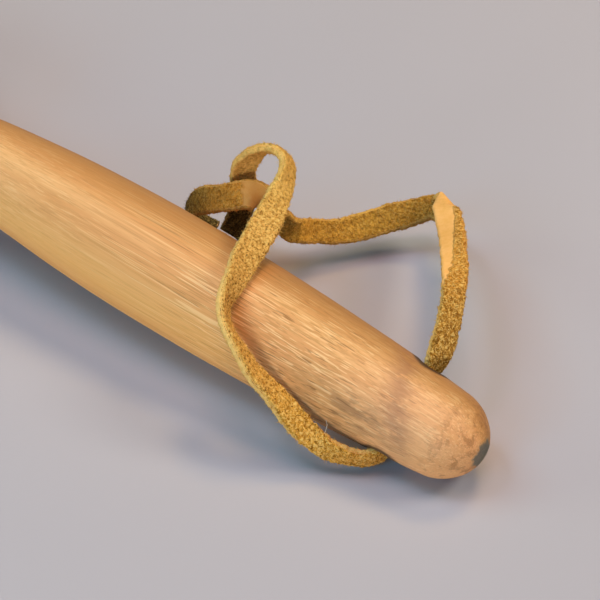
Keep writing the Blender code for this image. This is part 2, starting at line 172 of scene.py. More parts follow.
def roundedRing(name, vertices):
    # an open ring of radius 1 that faces along x, left in edit mode
    deselectAll()
    bpy.ops.mesh.primitive_circle_add(vertices=vertices, radius=1, rotation=(0, math.pi / 2, 0))
    piece = bpy.context.object
    piece.name = name
    bpy.ops.object.transform_apply(location=False, rotation=True, scale=False)
    bpy.ops.object.mode_set(mode="EDIT")
    bpy.ops.mesh.select_mode(type="VERT")
    bpy.ops.mesh.select_all(action="SELECT")
    return piece


def drawRings(rings):
    # rings of (x, y, half width, half height), each extruded from the last and brought to its size
    x, y, width, height = 0, 0, 1, 1
    for k, (nextX, nextY, nextWidth, nextHeight) in enumerate(rings):
        step = (nextX - x, nextY - y, 0)
        if k == 0:
            bpy.ops.transform.translate(value=step)
        else:
            bpy.ops.mesh.extrude_region_move(TRANSFORM_OT_translate={"value": step})
        scale = (1, nextWidth / width, nextHeight / height)
        bpy.ops.transform.resize(value=scale, center_override=(nextX, nextY, 0))
        x, y, width, height = nextX, nextY, nextWidth, nextHeight


def selectFaces(piece, wanted):
    # into edit mode with only the wanted faces selected
    pick(piece)
    for group in (piece.data.vertices, piece.data.edges):
        for item in group:
            item.select = False
    for face in piece.data.polygons:
        face.select = wanted(face)
    bpy.ops.object.mode_set(mode="EDIT")
    bpy.ops.mesh.select_mode(type="FACE")


def joinPieces(pieces):
    pick(pieces[0])
    for piece in pieces:
        piece.select_set(True)
    bpy.ops.object.join()
    return pieces[0]


def pushOut(piece, howFar):
    # moves each point along its normal, as far as howFar says for its place
    normals = [v.normal.copy() for v in piece.data.vertices]
    for v, normal in zip(piece.data.vertices, normals):
        v.co += normal * howFar(v.co)
    piece.data.update()


def roughen(piece, size, strength, stretch, seed):
    # an uneven hand-worked surface: soft clouds, drawn out along the axis
    def lump(place):
        spot = Vector((place.x / stretch, place.y, place.z)) / size + Vector((seed, seed, seed))
        return strength * noise.noise(spot)
    pushOut(piece, lump)


def countTriangles(piece):
    return sum(len(face.vertices) - 2 for face in piece.data.polygons)


def setOnAxis(piece, slotName, body, *nodes):
    # brings a piece that was modelled along the axis to its place on the table, in place of its CAD nodes
    piece.matrix_world = axisFrame @ piece.matrix_world
    applyPlace(piece)
    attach(piece, body)
    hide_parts(*nodes)


# helpers for materials: a value on a socket works in sums like a number, other nodes come from one method
def operatorPair(operation):
    # an operator and its reflected form, for a plain number on the left
    def plain(self, other):
        return self.math(operation, self, other)

    def reflected(self, other):
        return self.math(operation, other, self)
    return plain, reflected


class Tone:
    def __init__(self, tree, socket=None):
        self.tree = tree
        self.socket = socket

    def node(self, kind, settings=None, inputs=None, output=0):
        made = self.tree.nodes.new(kind)
        for name, value in (settings or {}).items():
            if name == "stops":
                while len(made.color_ramp.elements) < len(value):
                    made.color_ramp.elements.new(0.5)
                for element, (position, colour) in zip(made.color_ramp.elements, value):
                    element.position = position
                    element.color = (*colour, 1)
            else:
                setattr(made, name, value)
        for name, value in (inputs or {}).items():
            if isinstance(value, Tone):
                self.tree.links.new(value.socket, made.inputs[name])
            else:
                made.inputs[name].default_value = value
        return Tone(self.tree, made.outputs[output])

    def math(self, operation, a, b=0.0):
        return self.node("ShaderNodeMath", {"operation": operation}, {0: a, 1: b})

    __add__, __radd__ = operatorPair("ADD")
    __sub__, __rsub__ = operatorPair("SUBTRACT")
    __mul__, __rmul__ = operatorPair("MULTIPLY")
    __truediv__, __rtruediv__ = operatorPair("DIVIDE")
    __pow__, __rpow__ = operatorPair("POWER")


def newFinish(name, constants):
    # a Principled material with nothing linked; constants go straight on its sockets
    material = bpy.data.materials.new(name)
    material.use_nodes = True
    shader = material.node_tree.nodes["Principled BSDF"]
    for socket, value in constants.items():
        shader.inputs[socket].default_value = value
    return material, Tone(material.node_tree)


def feed(material, **links):
    shader = material.node_tree.nodes["Principled BSDF"]
    for socket, tone in links.items():
        material.node_tree.links.new(tone.socket, shader.inputs[socket.replace("_", " ")])


def linear(red, green, blue):
    # a colour as it is seen on a screen, from 0 to 255, as the shader wants it
    return tuple(((c / 255 + 0.055) / 1.055) ** 2.4 for c in (red, green, blue))


def ease(value, low, high):
    # from 0 at low to 1 at high, without corners
    limits = {"Value": value, "From Min": low, "From Max": high}
    return value.node("ShaderNodeMapRange", {"interpolation_type": "SMOOTHSTEP"}, limits)


def bell(distance, reach):
    # 1 in the middle, falling away softly on both sides
    return distance.math("EXPONENT", -1 * (distance / reach) ** 2)


def mixColour(amount, first, second):
    def colour(c):
        return c if isinstance(c, Tone) else (*c, 1)
    inputs = {0: amount, 6: colour(first), 7: colour(second)}
    return amount.node("ShaderNodeMix", {"data_type": "RGBA"}, inputs, output=2)


def stretched(coords, scale, shift=(0, 0, 0)):
    inputs = {"Vector": coords, "Scale": scale, "Location": shift}
    return coords.node("ShaderNodeMapping", {"vector_type": "POINT"}, inputs)


def tableCoords(paint):
    # millimetres along the table's own axes
    return stretched(paint.node("ShaderNodeTexCoord", output="Object"), (perMetre, perMetre, perMetre))


def axisCoords(paint):
    # millimetres along and across the rattle's axis, from the handle's shoulder
    back = Matrix.Rotation(-axisTilt, 3, "Y") @ axisFrame.translation
    inputs = {
        "Vector": paint.node("ShaderNodeTexCoord", output="Object"),
        "Location": tuple(-back * perMetre),
        "Rotation": (0, -axisTilt, 0),
        "Scale": (perMetre, perMetre, perMetre),
    }
    return paint.node("ShaderNodeMapping", {"vector_type": "POINT"}, inputs)


def cloud(coords, scale, detail=3, roughness=0.55, distortion=0.0):
    inputs = {"Vector": coords, "Scale": scale, "Detail": detail, "Roughness": roughness,
              "Distortion": distortion}
    return coords.node("ShaderNodeTexNoise", None, inputs)


def grainCloud(coords, along, across, shift=(0, 0, 0), **settings):
    # a cloud drawn out along the axis; along and across say how often it changes in a millimetre
    return cloud(stretched(coords, (along, across, across), shift), 1.0, **settings)


def split(coords):
    return [coords.node("ShaderNodeSeparateXYZ", None, {0: coords}, output=k) for k in range(3)]


def bump(height, strength, distance):
    inputs = {"Height": height, "Strength": strength, "Distance": distance}
    return height.node("ShaderNodeBump", None, inputs)


# wrist thong: one suede lace, laid in two strands from the middle of the cross hole
laceSpec = {
    "holeFromShoulder": 0.151,
    "width": 0.0060,
    "thickness": 0.0020,
    "corner": 0.0006,
    "spacing": 0.00028,
    "faceColumns": 21,
    "cornerSteps": 3,
    "curveSteps": 16,
    "mouthFromMiddle": 0.0135,
    "widthWaves": [(0.05, 0.011, 0), (0.03, 0.004, 1)],            # strength, length and seed of each
    "edgeWaves": [(0.00030, 0.0013, 2), (0.00016, 0.0005, 5)],
    "edgeFrom": 0.5,                                               # share of the half width
    "cup": 0.00015,
    "cupWaves": [(0.00025, 0.03, 4)],
    "cupLevel": 0.35,
    "tufts": [(0.00013, 0.0012), (0.00015, 0.00055), (0.00011, 0.00028)],    # height and size of each
    "skinRelief": 0.10,
    "waveSeeds": {"near": 1, "far": 11},
    "napSeeds": {"near": 5, "far": 6},
    "fibresPerStrand": 11000,
    "fibreLength": (0.00050, 0.00140),
    "fibreTrim": (0.5, 1),
    "fibreRadius": (0.000045, 0.000090),
    "fibreRise": (0.1, 0.6),
    "leastRise": 0.15,
    "riseNudge": 0.5,
    "hairSides": 3,
}
laneSteps = (7.3, 3.1)      # keep waves with different seeds apart
# the lace attribute holds millimetres of run, millimetres across and what the surface is there:
# between smooth, 0, and rough, 1, or one of these
cutMark, roughMark, fibreMark, strayMark = -1.0, 1.0, 2.0, 3.0
leastNap = 0.4              # smoother places carry no fibres

# places in millimetres from the axis at the hole, along the table's own axes, each with the way
# that one side of the lace faces, its share of the width and, at the fold, the lean of its section
nearRoute = [
    ((0, 0.5, -0.5), (1.0, 0.0, -0.1), 0.90),             # in the hole
    ((0, -3, -3.5), (1.0, 0.0, -0.1), 0.90),
    ((-0.5, -7.5, -7), (0.9, -0.3, -0.2), 0.90),
    ((-2.5, -11.5, -7.5), (0.5, -0.8, -0.2), 0.90),       # out of the near mouth
    ((-6, -14.5, -6.5), (0.2, -1.0, -0.1), 0.88),
    ((-10, -16.5, -5), (0.2, -0.9, 0.3), 0.88),
    ((-16, -17.5, -1.5), (0.45, -0.3, 0.85), 0.99),
    ((-23.5, -17.5, 4), (0.5, 0.2, 0.8), 1.05),           # up the front of the grip
    ((-30, -18, 9), (0.6, 0.5, 0.7), 1.05),
    ((-35, -17, 13), (0.7, 0.6, 0.5), 0.99),
    ((-40.5, -14.5, 15.5), (0.75, 0.6, 0.3), 0.99),
    ((-43, -11.5, 18), (0.85, 0.45, 0.2), 1.05),
    ((-44, -6.5, 20.5), (0.9, 0.1, 0.4), 1.11),           # over the top of the grip
    ((-45.5, -1, 22), (0.7, -0.4, 0.6), 1.17),
    ((-47, 5, 22.5), (0.5, -0.5, 0.7), 1.23),
    ((-49, 12, 23), (0.4, -0.6, 0.7), 1.17),
    ((-51.5, 19.5, 24), (0.7, -0.3, 0.65), 1.05),
    ((-53.5, 25.5, 25.5), (0.9, 0.2, 0.4), 0.93),
    ((-56.5, 29.5, 27), (0.7, 0.7, 0.6), 0.88),           # curl of the knot
    ((-61, 30.5, 27.5), (-0.1, 0.75, 0.75), 0.93),
    ((-64.5, 29.5, 26.5), (-0.75, 0.35, 0.55), 0.99),
    ((-67, 28.5, 23.5), (-0.9, 0.35, -0.2), 1.05),
    ((-69, 28.5, 19.5), (-0.7, 0.5, -0.5), 1.05),
    ((-70.5, 30, 14.5), (-0.5, 0.6, -0.6), 1.05),         # down behind the other strand
    ((-71.5, 31.5, 9), (-0.45, 0.6, -0.65), 1.05),
    ((-72.5, 32, 4), (-0.45, 0.6, -0.65), 1.05),
    ((-74.5, 33, -1), (-0.45, 0.6, -0.65), 1.05),
    ((-75.5, 32.5, -5), (-0.45, 0.6, -0.65), 1.05),
    ((-76.5, 32, -7.5), (-0.45, 0.6, -0.65), 1.00),
]
farRoute = [
    ((0, 0.5, -0.5), (1.0, 0.0, -0.1), 0.90),
    ((0, 4.5, 2.5), (1.0, 0.0, -0.1), 0.90),
    ((0.5, 8.5, 6), (1.0, -0.1, 0.1), 0.93),
    ((0.5, 12, 9), (0.8, -0.4, 0.4), 1.05),               # out of the far mouth
    ((-0.5, 16, 12.5), (0.75, -0.45, 0.5), 0.99),
    ((-3.5, 22.5, 15), (0.6, -0.4, 0.65), 0.95),
    ((-6, 27, 15), (0.35, -0.3, 0.85), 0.97),
    ((-9, 32, 14), (0.1, -0.25, 0.95), 1.00),
    ((-17, 43.5, 11), (-0.3, -0.2, 0.95), 1.11),
    ((-24, 53, 7.5), (-0.3, -0.2, 0.95), 1.11, -0.4),
    ((-29, 59, 6.5), (-0.3, -0.2, 0.95), 1.11, -1.0),     # folded under itself, on the slant
    ((-30.5, 62, 5), (0.35, 0.9, 0.3), 1.17, -1.0),
    ((-32.5, 62, 2.5), (0.3, 0.3, -0.9), 1.17, -1.0),
    ((-36, 62.5, 1), (-0.1, 0.3, -0.95), 1.17, -0.4),
    ((-39.5, 60.5, -1), (-0.2, 0.4, -0.9), 1.23),
    ((-43, 57, -2), (-0.4, 0.5, -0.8), 1.23),
    ((-47.5, 51, -3), (-0.4, 0.6, -0.7), 1.17),           # back towards the grip
    ((-51.5, 45, -3), (-0.4, 0.6, -0.7), 1.11),
    ((-55.5, 39, -1), (-0.4, 0.6, -0.7), 1.05),
    ((-57.5, 33, 2.5), (-0.1, 0.8, -0.6), 1.05),          # under the other strand
    ((-60.5, 30.5, 7.5), (0.1, 0.9, -0.5), 1.20),
    ((-62, 27.5, 13), (0.1, 0.8, -0.6), 1.30),
    ((-64, 24.5, 16), (0.1, 0.7, -0.8), 1.30),            # round the curl of the knot
    ((-67.5, 22.5, 15), (0.1, 0.7, -0.6), 1.20),
    ((-73.2, 22.9, 11.2), (0.4, 0.8, -0.5), 1.17),
    ((-80.5, 25, 5.5), (0.4, 0.8, -0.4), 1.17),
    ((-84.5, 25.5, 0.5), (0.9, 0.5, -0.1), 1.11),
    ((-86, 27, -3), (0.85, 0.3, 0.4), 1.11),              # tail on the table
    ((-85.5, 29, -6), (0.4, -0.1, 0.8), 1.05),
    ((-84, 30.5, -8), (0.1, -0.1, 0.95), 1.05),
    ((-81.5, 31, -8.5), (0.0, -0.1, 1.0), 1.05),
]
# one long hair that has come loose at the lower bend, in millimetres like the routes
strayHair = [(-13.7, -15.9, -3.9), (-12.2, -16.0, -2.9), (-11.8, -14.9, -1.9), (-11.9, -14.1, -0.4),
             (-12.4, -13.9, 1.1)]
# where the far strand is smooth, in millimetres: at the fold its skin shows, up to an edge that wanders
# across the lace, and the knot has rubbed its other side bare
skinSpec = {
    "edge": [(30, -3.4), (37, -1.3), (45, 0.1), (57, 1.0), (66, 1.7), (73, 2.2), (78, 3.4)],    # run, across
    "edgeBlur": 1.1,
    "bareRun": (131.5, 144.5),
    "bareBlur": 2,
    "rubbedOff": 0.82,
    "wander": 0.70,
    "wanderSize": 1.7,
    "wanderSeed": 4.0,
}


def curvePoint(four, share):
    # centripetal Catmull-Rom point between the second and third of four places
    knots = [0.0]
    for a, b in zip(four, four[1:]):
        knots.append(knots[-1] + math.sqrt((b - a).length))
    at = knots[1] + (knots[2] - knots[1]) * share
    row = list(four)
    for spans in (((0, 1), (1, 2), (2, 3)), ((0, 2), (1, 3)), ((1, 2),)):
        shares = [(at - knots[low]) / (knots[high] - knots[low]) for low, high in spans]
        row = [a.lerp(b, part) for a, b, part in zip(row, row[1:], shares)]
    return row[0]


def smoothRoute(route, spacing):
    # even stops along one smooth curve, each with its side's direction, its width and its lean
    places = [Vector(entry[0]) * mm for entry in route]
    faces = [Vector(entry[1]).normalized() for entry in route]
    shapes = [Vector((entry[2], entry[3] if len(entry) > 3 else 0)) for entry in route]
    ends = [places[0] * 2 - places[1]] + places + [places[-1] * 2 - places[-2]]
    fine = []
    for k in range(len(places) - 1):
        for step in range(laceSpec["curveSteps"]):
            share = step / laceSpec["curveSteps"]
            place = curvePoint(ends[k:k + 4], share)
            fine.append((place, faces[k].lerp(faces[k + 1], share), shapes[k].lerp(shapes[k + 1], share)))
    fine.append((places[-1], faces[-1], shapes[-1]))
    run = [0.0]
    for a, b in zip(fine, fine[1:]):
        run.append(run[-1] + (b[0] - a[0]).length)
    count = round(run[-1] / spacing)
    even, j = [], 0
    for k in range(count + 1):
        at = run[-1] * k / count
        while j < len(run) - 2 and run[j + 1] < at:
            j += 1
        share = (at - run[j]) / (run[j + 1] - run[j])
        even.append([first.lerp(second, share) for first, second in zip(fine[j], fine[j + 1])])
    return even


def laceOutline():
    # (across, through, outward, nap) round the lace: one side, a cut edge, the other side, a cut edge;
    # a cut edge is rough, with a pale line along its lower corner
    wide, thick, corner = laceSpec["width"] / 2, laceSpec["thickness"] / 2, laceSpec["corner"]
    flat, columns, steps = wide - corner, laceSpec["faceColumns"], 2 * laceSpec["cornerSteps"]
    half = [(-flat + 2 * flat * k / (columns - 1), thick, (0, 1)) for k in range(columns)]
    for k in range(1, steps):
        turn = math.pi / 2 - math.pi * k / steps
        outward = (math.cos(turn), math.sin(turn))
        middle = 0 if k * 2 == steps else math.copysign(thick - corner, outward[1])
        half.append((flat + corner * outward[0], middle + corner * outward[1], outward))
    whole = half + [(-a, -b, (-c, -d)) for a, b, (c, d) in half]
    return [(a, b, (c, d), cutMark if c and d < 0.1 else roughMark) for a, b, (c, d) in whole]


def clamp(share):
    return min(max(share, 0), 1)


def napAt(side, run, across, through, nap):
    spec = skinSpec
    if side != "far" or nap < roughMark:
        return nap
    wander = spec["wander"] * noise.noise(Vector((run / spec["wanderSize"], across, spec["wanderSeed"])))
    if through < 0:
        low, high = spec["bareRun"]
        return 1 - spec["rubbedOff"] * clamp((min(run - low, high - run) + wander) / spec["bareBlur"])
    for (runA, edgeA), (runB, edgeB) in zip(spec["edge"], spec["edge"][1:]):
        if runA <= run < runB:
            edge = edgeA + (edgeB - edgeA) * (run - runA) / (runB - runA)
            return clamp((across - edge + wander) / spec["edgeBlur"] + 0.5)
    return nap


def waves(run, rows, seed):
    # uneven waves along the lace, added up
    total = 0.0
    for strength, length, own in rows:
        lane = [(seed + own) * step for step in laneSteps]
        total += strength * noise.noise(Vector((run / length, *lane)))
    return total


def finishMesh(bm, name):
    bmesh.ops.recalc_face_normals(bm, faces=bm.faces)
    mesh = bpy.data.meshes.new(name)
    bm.to_mesh(mesh)
    bm.free()
    mesh.shade_smooth()
    piece = bpy.data.objects.new(name, mesh)
    scene.collection.objects.link(piece)
    return piece


def bridgeRings(bm, last, ring):
    for j in range(len(ring)):
        bm.faces.new((last[j - 1], last[j], ring[j], ring[j - 1]))


def layStrand(side, stops, origin, seed):
    # lofts the lace along its stops, with an uneven width, ragged edges and a rough nap
    spec = laceSpec
    outline = laceOutline()
    bm = bmesh.new()
    laceCoord = bm.verts.layers.float_vector.new("lace")
    rings, along, run = [], [], 0.0
    for k, (place, face, shape) in enumerate(stops):
        before, after = stops[max(k - 1, 0)][0], stops[min(k + 1, len(stops) - 1)][0]
        way = (after - before).normalized()
        face = (face - way * face.dot(way)).normalized()
        across = way.cross(face) + way * shape.y
        if k:
            run += (place - stops[k - 1][0]).length
        wider = shape.x * (1 + waves(run, spec["widthWaves"], seed))
        ragged = [waves(run, spec["edgeWaves"], seed + rim) for rim in (0, 1)]
        cup = spec["cup"] + waves(run, spec["cupWaves"], seed)
        ring = []
        for wide, thick, outward, nap in outline:
            nap = napAt(side, run / mm, wide / mm, thick, nap)
            share = wide / (spec["width"] / 2)
            edge = max(0.0, abs(share) - spec["edgeFrom"]) / (1 - spec["edgeFrom"])
            sideways = wide * wider + math.copysign(edge, wide) * ragged[wide > 0]
            upwards = thick - cup * (share ** 2 - spec["cupLevel"])
            spot = origin + place + across * sideways + face * upwards
            fuzz = sum(height * noise.noise(spot / size) for height, size in spec["tufts"])
            lift = fuzz * (spec["skinRelief"] + (1 - spec["skinRelief"]) * abs(nap))
            vert = bm.verts.new(spot + (across * outward[0] + face * outward[1]) * lift)
            vert[laceCoord] = Vector((run / mm, wide / mm, nap))
            ring.append(vert)
        rings.append(ring)
        along.append(origin + place)
    for last, ring in zip(rings, rings[1:]):
        bridgeRings(bm, last, ring)
    bm.faces.new(rings[0])
    bm.faces.new(rings[-1][::-1])
    return finishMesh(bm, f"wrist_thong_{side}"), along, run


def addHair(bm, laceCoord, points, radius, lace):
    # a thin hair along its points, closed at the root and drawn out to a tip
    sides = laceSpec["hairSides"]
    last = None
    for k, point in enumerate(points[:-1]):
        way = (points[k + 1] - point).normalized()
        side = way.orthogonal().normalized()
        other = way.cross(side)
        ring = []
        for turn in range(sides):
            angle = 2 * math.pi * turn / sides
            vert = bm.verts.new(point + (side * math.cos(angle) + other * math.sin(angle)) * radius)
            vert[laceCoord] = lace
            ring.append(vert)
        if last is None:
            bm.faces.new(ring[::-1])
        else:
            bridgeRings(bm, last, ring)
        last = ring
    tip = bm.verts.new(points[-1])
    tip[laceCoord] = lace
    for j in range(sides):
        bm.faces.new((last[j - 1], last[j], tip))


def growNap(name, strand, seed, strays):
    # loose fibres wherever the lace isn't smooth, and the long hairs that have come loose
    spec = laceSpec
    dice = random.Random(seed)
    bm = bmesh.new()
    laceCoord = bm.verts.layers.float_vector.new("lace")
    coords = strand.data.attributes["lace"].data
    roots = [v for v in strand.data.vertices if abs(coords[v.index].vector.z) > leastNap]
    for root in dice.sample(roots, spec["fibresPerStrand"]):
        run, across, _ = coords[root.index].vector
        lean = Vector([dice.uniform(-1, 1) for _ in range(3)])
        way = (root.normal * dice.uniform(*spec["fibreRise"]) + lean).normalized()
        if way.dot(root.normal) < spec["leastRise"]:
            way = (way + root.normal * spec["riseNudge"]).normalized()
        length = dice.uniform(*spec["fibreLength"]) * dice.uniform(*spec["fibreTrim"])
        radius = dice.uniform(*spec["fibreRadius"])
        start = root.co - root.normal * radius
        addHair(bm, laceCoord, [start, start + way * length], radius, Vector((run, across, fibreMark)))
    for points in strays:
        addHair(bm, laceCoord, points, spec["fibreRadius"][1], Vector((0, 0, strayMark)))
    return finishMesh(bm, name)


def makeThong():
    origin = axisFrame @ Vector((laceSpec["holeFromShoulder"], 0, 0))
    stops = smoothRoute(nearRoute[::-1] + farRoute[1:], laceSpec["spacing"])
    middle = min(range(len(stops)), key=lambda k: stops[k][0].length)
    strands = {"near": stops[middle::-1], "far": stops[middle:]}
    strays = {"near": [[origin + Vector(p) * mm for p in strayHair]], "far": []}
    made = {}
    for side, run in strands.items():
        piece, along, length = layStrand(side, run, origin, laceSpec["waveSeeds"][side])
        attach(piece, "rattle")
        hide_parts("wrist_thong")
        nap = growNap(f"thong_nap_{side}", piece, laceSpec["napSeeds"][side], strays[side])
        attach(nap, "rattle")
        made[side] = (piece, nap)
        print("strand", side, "length", round(length, 4), "triangles", countTriangles(piece))
    return made


thong = makeThong()


# handle: turned grip with a rounded end, cross hole and long tenon
handleSpec = {
    "gripLength": 0.172,
    "bellyRadius": 0.0145,
    "bellyFromEnd": 0.092,
    "endRadius": 0.0094,
    "neckRadius": 0.0090,
    "domeDepth": 0.0102,
    "tenonRadius": 0.0065,
    "shoulderX": 0.0003,
    "tenonEndX": -0.0952,
    "holeFromEnd": 0.021,
    "holeOffAxis": 0.0010,
    "holeRadius": 0.0034,
    "holeFlare": 0.0006,
    "holeFlareDepth": 0.0035,
    "holeRise": math.radians(38.5),
    "holeSegments": 96,
    "centreMarkRadius": 0.0019,
    "centreMarkDepth": 0.0006,
    "segments": 192,
    "rings": 320,
    "domeRings": 40,
    "uneven": [
        {"size": 0.009, "strength": 0.00016, "stretch": 5.0, "seed": 3.0},
        {"size": 0.0022, "strength": 0.00005, "stretch": 6.0, "seed": 8.0},
    ],
}
wedgeSpec = {
    "length": 0.0105,
    "width": 0.0098,
    "back": 0.0022,
    "nose": 0.0007,
    "fit": 0.0003,
    "ease": 0.0002,
    "easeSegments": 2,
    "cuts": 5,
    "shadeAngle": 50,
    "uneven": {"size": 0.0016, "strength": 0.00006, "stretch": 3.0, "seed": 5.0},
}


def gripRadius(fromEnd):
    spec = handleSpec
    belly = spec["bellyRadius"]
    if fromEnd < spec["bellyFromEnd"]:
        drop = (belly - spec["endRadius"]) * (1 - fromEnd / spec["bellyFromEnd"]) ** 2
    else:
        past = (fromEnd - spec["bellyFromEnd"]) / (spec["gripLength"] - spec["bellyFromEnd"])
        drop = (belly - spec["neckRadius"]) * past ** 2
    radius = belly - drop
    if fromEnd < spec["domeDepth"]:
        radius *= math.sqrt(1 - (1 - fromEnd / spec["domeDepth"]) ** 2)
    return radius


def handleProfile():
    spec = handleSpec
    depth, tenonRadius, tenonEnd = spec["domeDepth"], spec["tenonRadius"], spec["tenonEndX"]
    dome = [depth * (1 - math.cos(math.pi / 2 * k / spec["domeRings"])) for k in range(spec["domeRings"])]
    run = spec["gripLength"] - spec["shoulderX"] - depth
    barrel = [depth + run * k / spec["rings"] for k in range(spec["rings"] + 1)]
    profile = []
    for fromEnd in dome + barrel:
        radius = gripRadius(fromEnd)
        dent = spec["centreMarkDepth"] * math.exp(-(radius / spec["centreMarkRadius"]) ** 4)
        profile.append((spec["gripLength"] - fromEnd - dent * (fromEnd < depth), radius))
    return profile + [(spec["shoulderX"], tenonRadius), (tenonEnd, tenonRadius), (tenonEnd, 0)]


def holeCutter():
    # a spool whose ends are the worn mouths of the cross hole
    spec = handleSpec
    reach = spec["bellyRadius"]
    waist = gripRadius(spec["holeFromEnd"]) - spec["holeFlareDepth"]
    wide = spec["holeRadius"] + spec["holeFlare"] / spec["holeFlareDepth"] * (reach - waist)
    half = [(-reach, 0), (-reach, wide), (-waist, spec["holeRadius"])]
    spool = half + [(-x, r) for x, r in reversed(half)]
    cutter = turnOnLathe("cross_hole", spool, spec["holeSegments"])
    rise, off = spec["holeRise"], spec["holeOffAxis"]
    place = Vector((spec["gripLength"] - spec["holeFromEnd"], off * math.sin(rise), -off * math.cos(rise)))
    turn = Matrix.Rotation(rise, 4, "X") @ Matrix.Rotation(math.pi / 2, 4, "Z")
    cutter.matrix_world = Matrix.Translation(place) @ turn
    return cutter


def wedgeShape(name, grow):
    # thick at the crown, thin at its nose: a block whose nose end is pinched
    spec = wedgeSpec
    outside = handleSpec["tenonEndX"] - grow
    length, back, nose, width = [spec[key] + 2 * grow for key in ("length", "back", "nose", "width")]
    deselectAll()
    bpy.ops.mesh.primitive_cube_add(size=1, location=(outside + length / 2, 0, 0))
    piece = bpy.context.object
    piece.name = name
    piece.scale = (length, back, width)
    applyPlace(piece)
    selectFaces(piece, lambda face: face.normal.x > 0.9)
    bpy.ops.transform.resize(value=(1, nose / back, 1), center_override=(outside + length, 0, 0))
    bpy.ops.object.mode_set(mode="OBJECT")
    return piece


def makeHandle():
    piece = turnOnLathe("turned_handle", handleProfile(), handleSpec["segments"])
    cutOut(piece, holeCutter())
    cutOut(piece, wedgeShape("kerf", wedgeSpec["fit"]))
    for layer in handleSpec["uneven"]:
        roughen(piece, **layer)
    smoothShade(piece)
    setOnAxis(piece, "handle_wood", "rattle", "handle")
    print("handle triangles", countTriangles(piece))
    return piece


def makeWedge():
    piece = wedgeShape("driven_wedge", 0)
    easeEdges(piece, wedgeSpec["ease"], wedgeSpec["easeSegments"])
    bpy.ops.object.mode_set(mode="EDIT")
    bpy.ops.mesh.select_all(action="SELECT")
    bpy.ops.mesh.subdivide(number_cuts=wedgeSpec["cuts"])
    bpy.ops.object.mode_set(mode="OBJECT")
    roughen(piece, **wedgeSpec["uneven"])
    smoothShade(piece, wedgeSpec["shadeAngle"])
    setOnAxis(piece, "plug_wood", "rattle", "tenon_wedge")
    return piece


handle = makeHandle()
wedge = makeWedge()


# horn, its two plugs, the brads that hold them and the pebbles inside
hornSpec = {
    "length": 0.094,
    "wall": 0.0035,
    "throat": (0.0245, 0.0225),
    "crown": (0.0340, 0.0310),
    "flare": 1.25,
    "bow": 0.003,
    "rimEase": 0.0006,
    "rimSegments": 3,
    "segments": 160,
    "rings": 96,
    "ridges": 7.5,
    "ridgeDepth": 0.00009,
    "ridgeDrop": 0.6,
    "ridgeUneven": 0.65,
    "ridgeChange": 9,           # how often the ridges' strength changes along the horn
    "warp": 0.9,
    "warpRound": 1.3,
    "warpAlong": 5,
    "pitDepth": 0.00006,
    "pitSize": 0.004,
    "plainEnd": 0.02,           # share of the length that has no ridges, at each end
    "outsideFrom": 0.95,        # share of the section past which a point is on the outside
}
plugSpec = {
    "thickness": 0.014,
    "baseInset": 0.0010,
    "crownProud": 0.0012,
    "fit": 0.0003,
    "ease": 0.0008,
    "easeSegments": 4,
    "segments": 128,
    "rings": 10,
    "faceInsets": (0.0012, 0.003, 0.003, 0.003),
    "boreReach": 0.01,
    "boreSegments": 96,
    "uneven": {"size": 0.006, "strength": 0.00010, "stretch": 1.0, "seed": 2.0},
}
bradSpec = {
    "perPlug": 4,
    "firstAngle": math.radians(45),
    "shankRadius": 0.0008,
    "shankLength": 0.0085,
    "pointLength": 0.0015,
    "headRadius": 0.0019,
    "headHeight": 0.0010,
    "headSteps": 9,
    "lipDrop": 0.00006,
    "lipShare": 0.97,
    "segments": 40,
    "drillReach": 0.002,
    "drillSegments": 24,
    "twist": 1.3,
    "shadeAngle": 50,
    "uneven": {"size": 0.0011, "strength": 0.00005, "stretch": 1.0, "seed": 4.0},
}
pebbleSpec = {
    "subdivisions": 5,
    "lumps": [(0.16, 0.9), (0.05, 2.6), (0.012, 9)],      # height and closeness, on a ball of radius 1
    "seedStep": 3.7,
    "margin": 0.01,
    "shadeAngle": 80,
}


def hornSection(x, inset=0.0):
    spec = hornSpec
    share = min(max(-x / spec["length"], 0.0), 1.0)
    spread = share ** spec["flare"]
    width, height = [a + (b - a) * spread - inset for a, b in zip(spec["throat"], spec["crown"])]
    return (x, 4 * spec["bow"] * share * (1 - share), width, height)


def hornPoint(x, angle):
    _, middle, width, height = hornSection(x)
    return Vector((x, middle + width * math.cos(angle), height * math.sin(angle)))


def hornRidge(place):
    # growth ridges: low uneven waves round the outside of the horn
    spec = hornSpec
    _, middle, width, height = hornSection(place.x)
    share = -place.x / spec["length"]
    outward = math.hypot((place.y - middle) / width, place.z / height)
    if outward <= spec["outsideFrom"] or not spec["plainEnd"] < share < 1 - spec["plainEnd"]:
        return 0.0
    angle, size = math.atan2(place.z, place.y - middle), spec["warpRound"]
    around = Vector((math.cos(angle) * size, math.sin(angle) * size, share * spec["warpAlong"]))
    turns = share * spec["ridges"] + spec["warp"] * noise.noise(around)
    uneven = noise.noise(Vector((share * spec["ridgeChange"], 3.3, 1)))
    ridge = math.sin(2 * math.pi * turns) * (1 - spec["ridgeUneven"] + spec["ridgeUneven"] * uneven)
    dip = spec["ridgeDepth"] * (ridge - spec["ridgeDrop"]) * math.sin(math.pi * share) ** 0.5
    return dip - spec["pitDepth"] * abs(noise.noise(place / spec["pitSize"]))


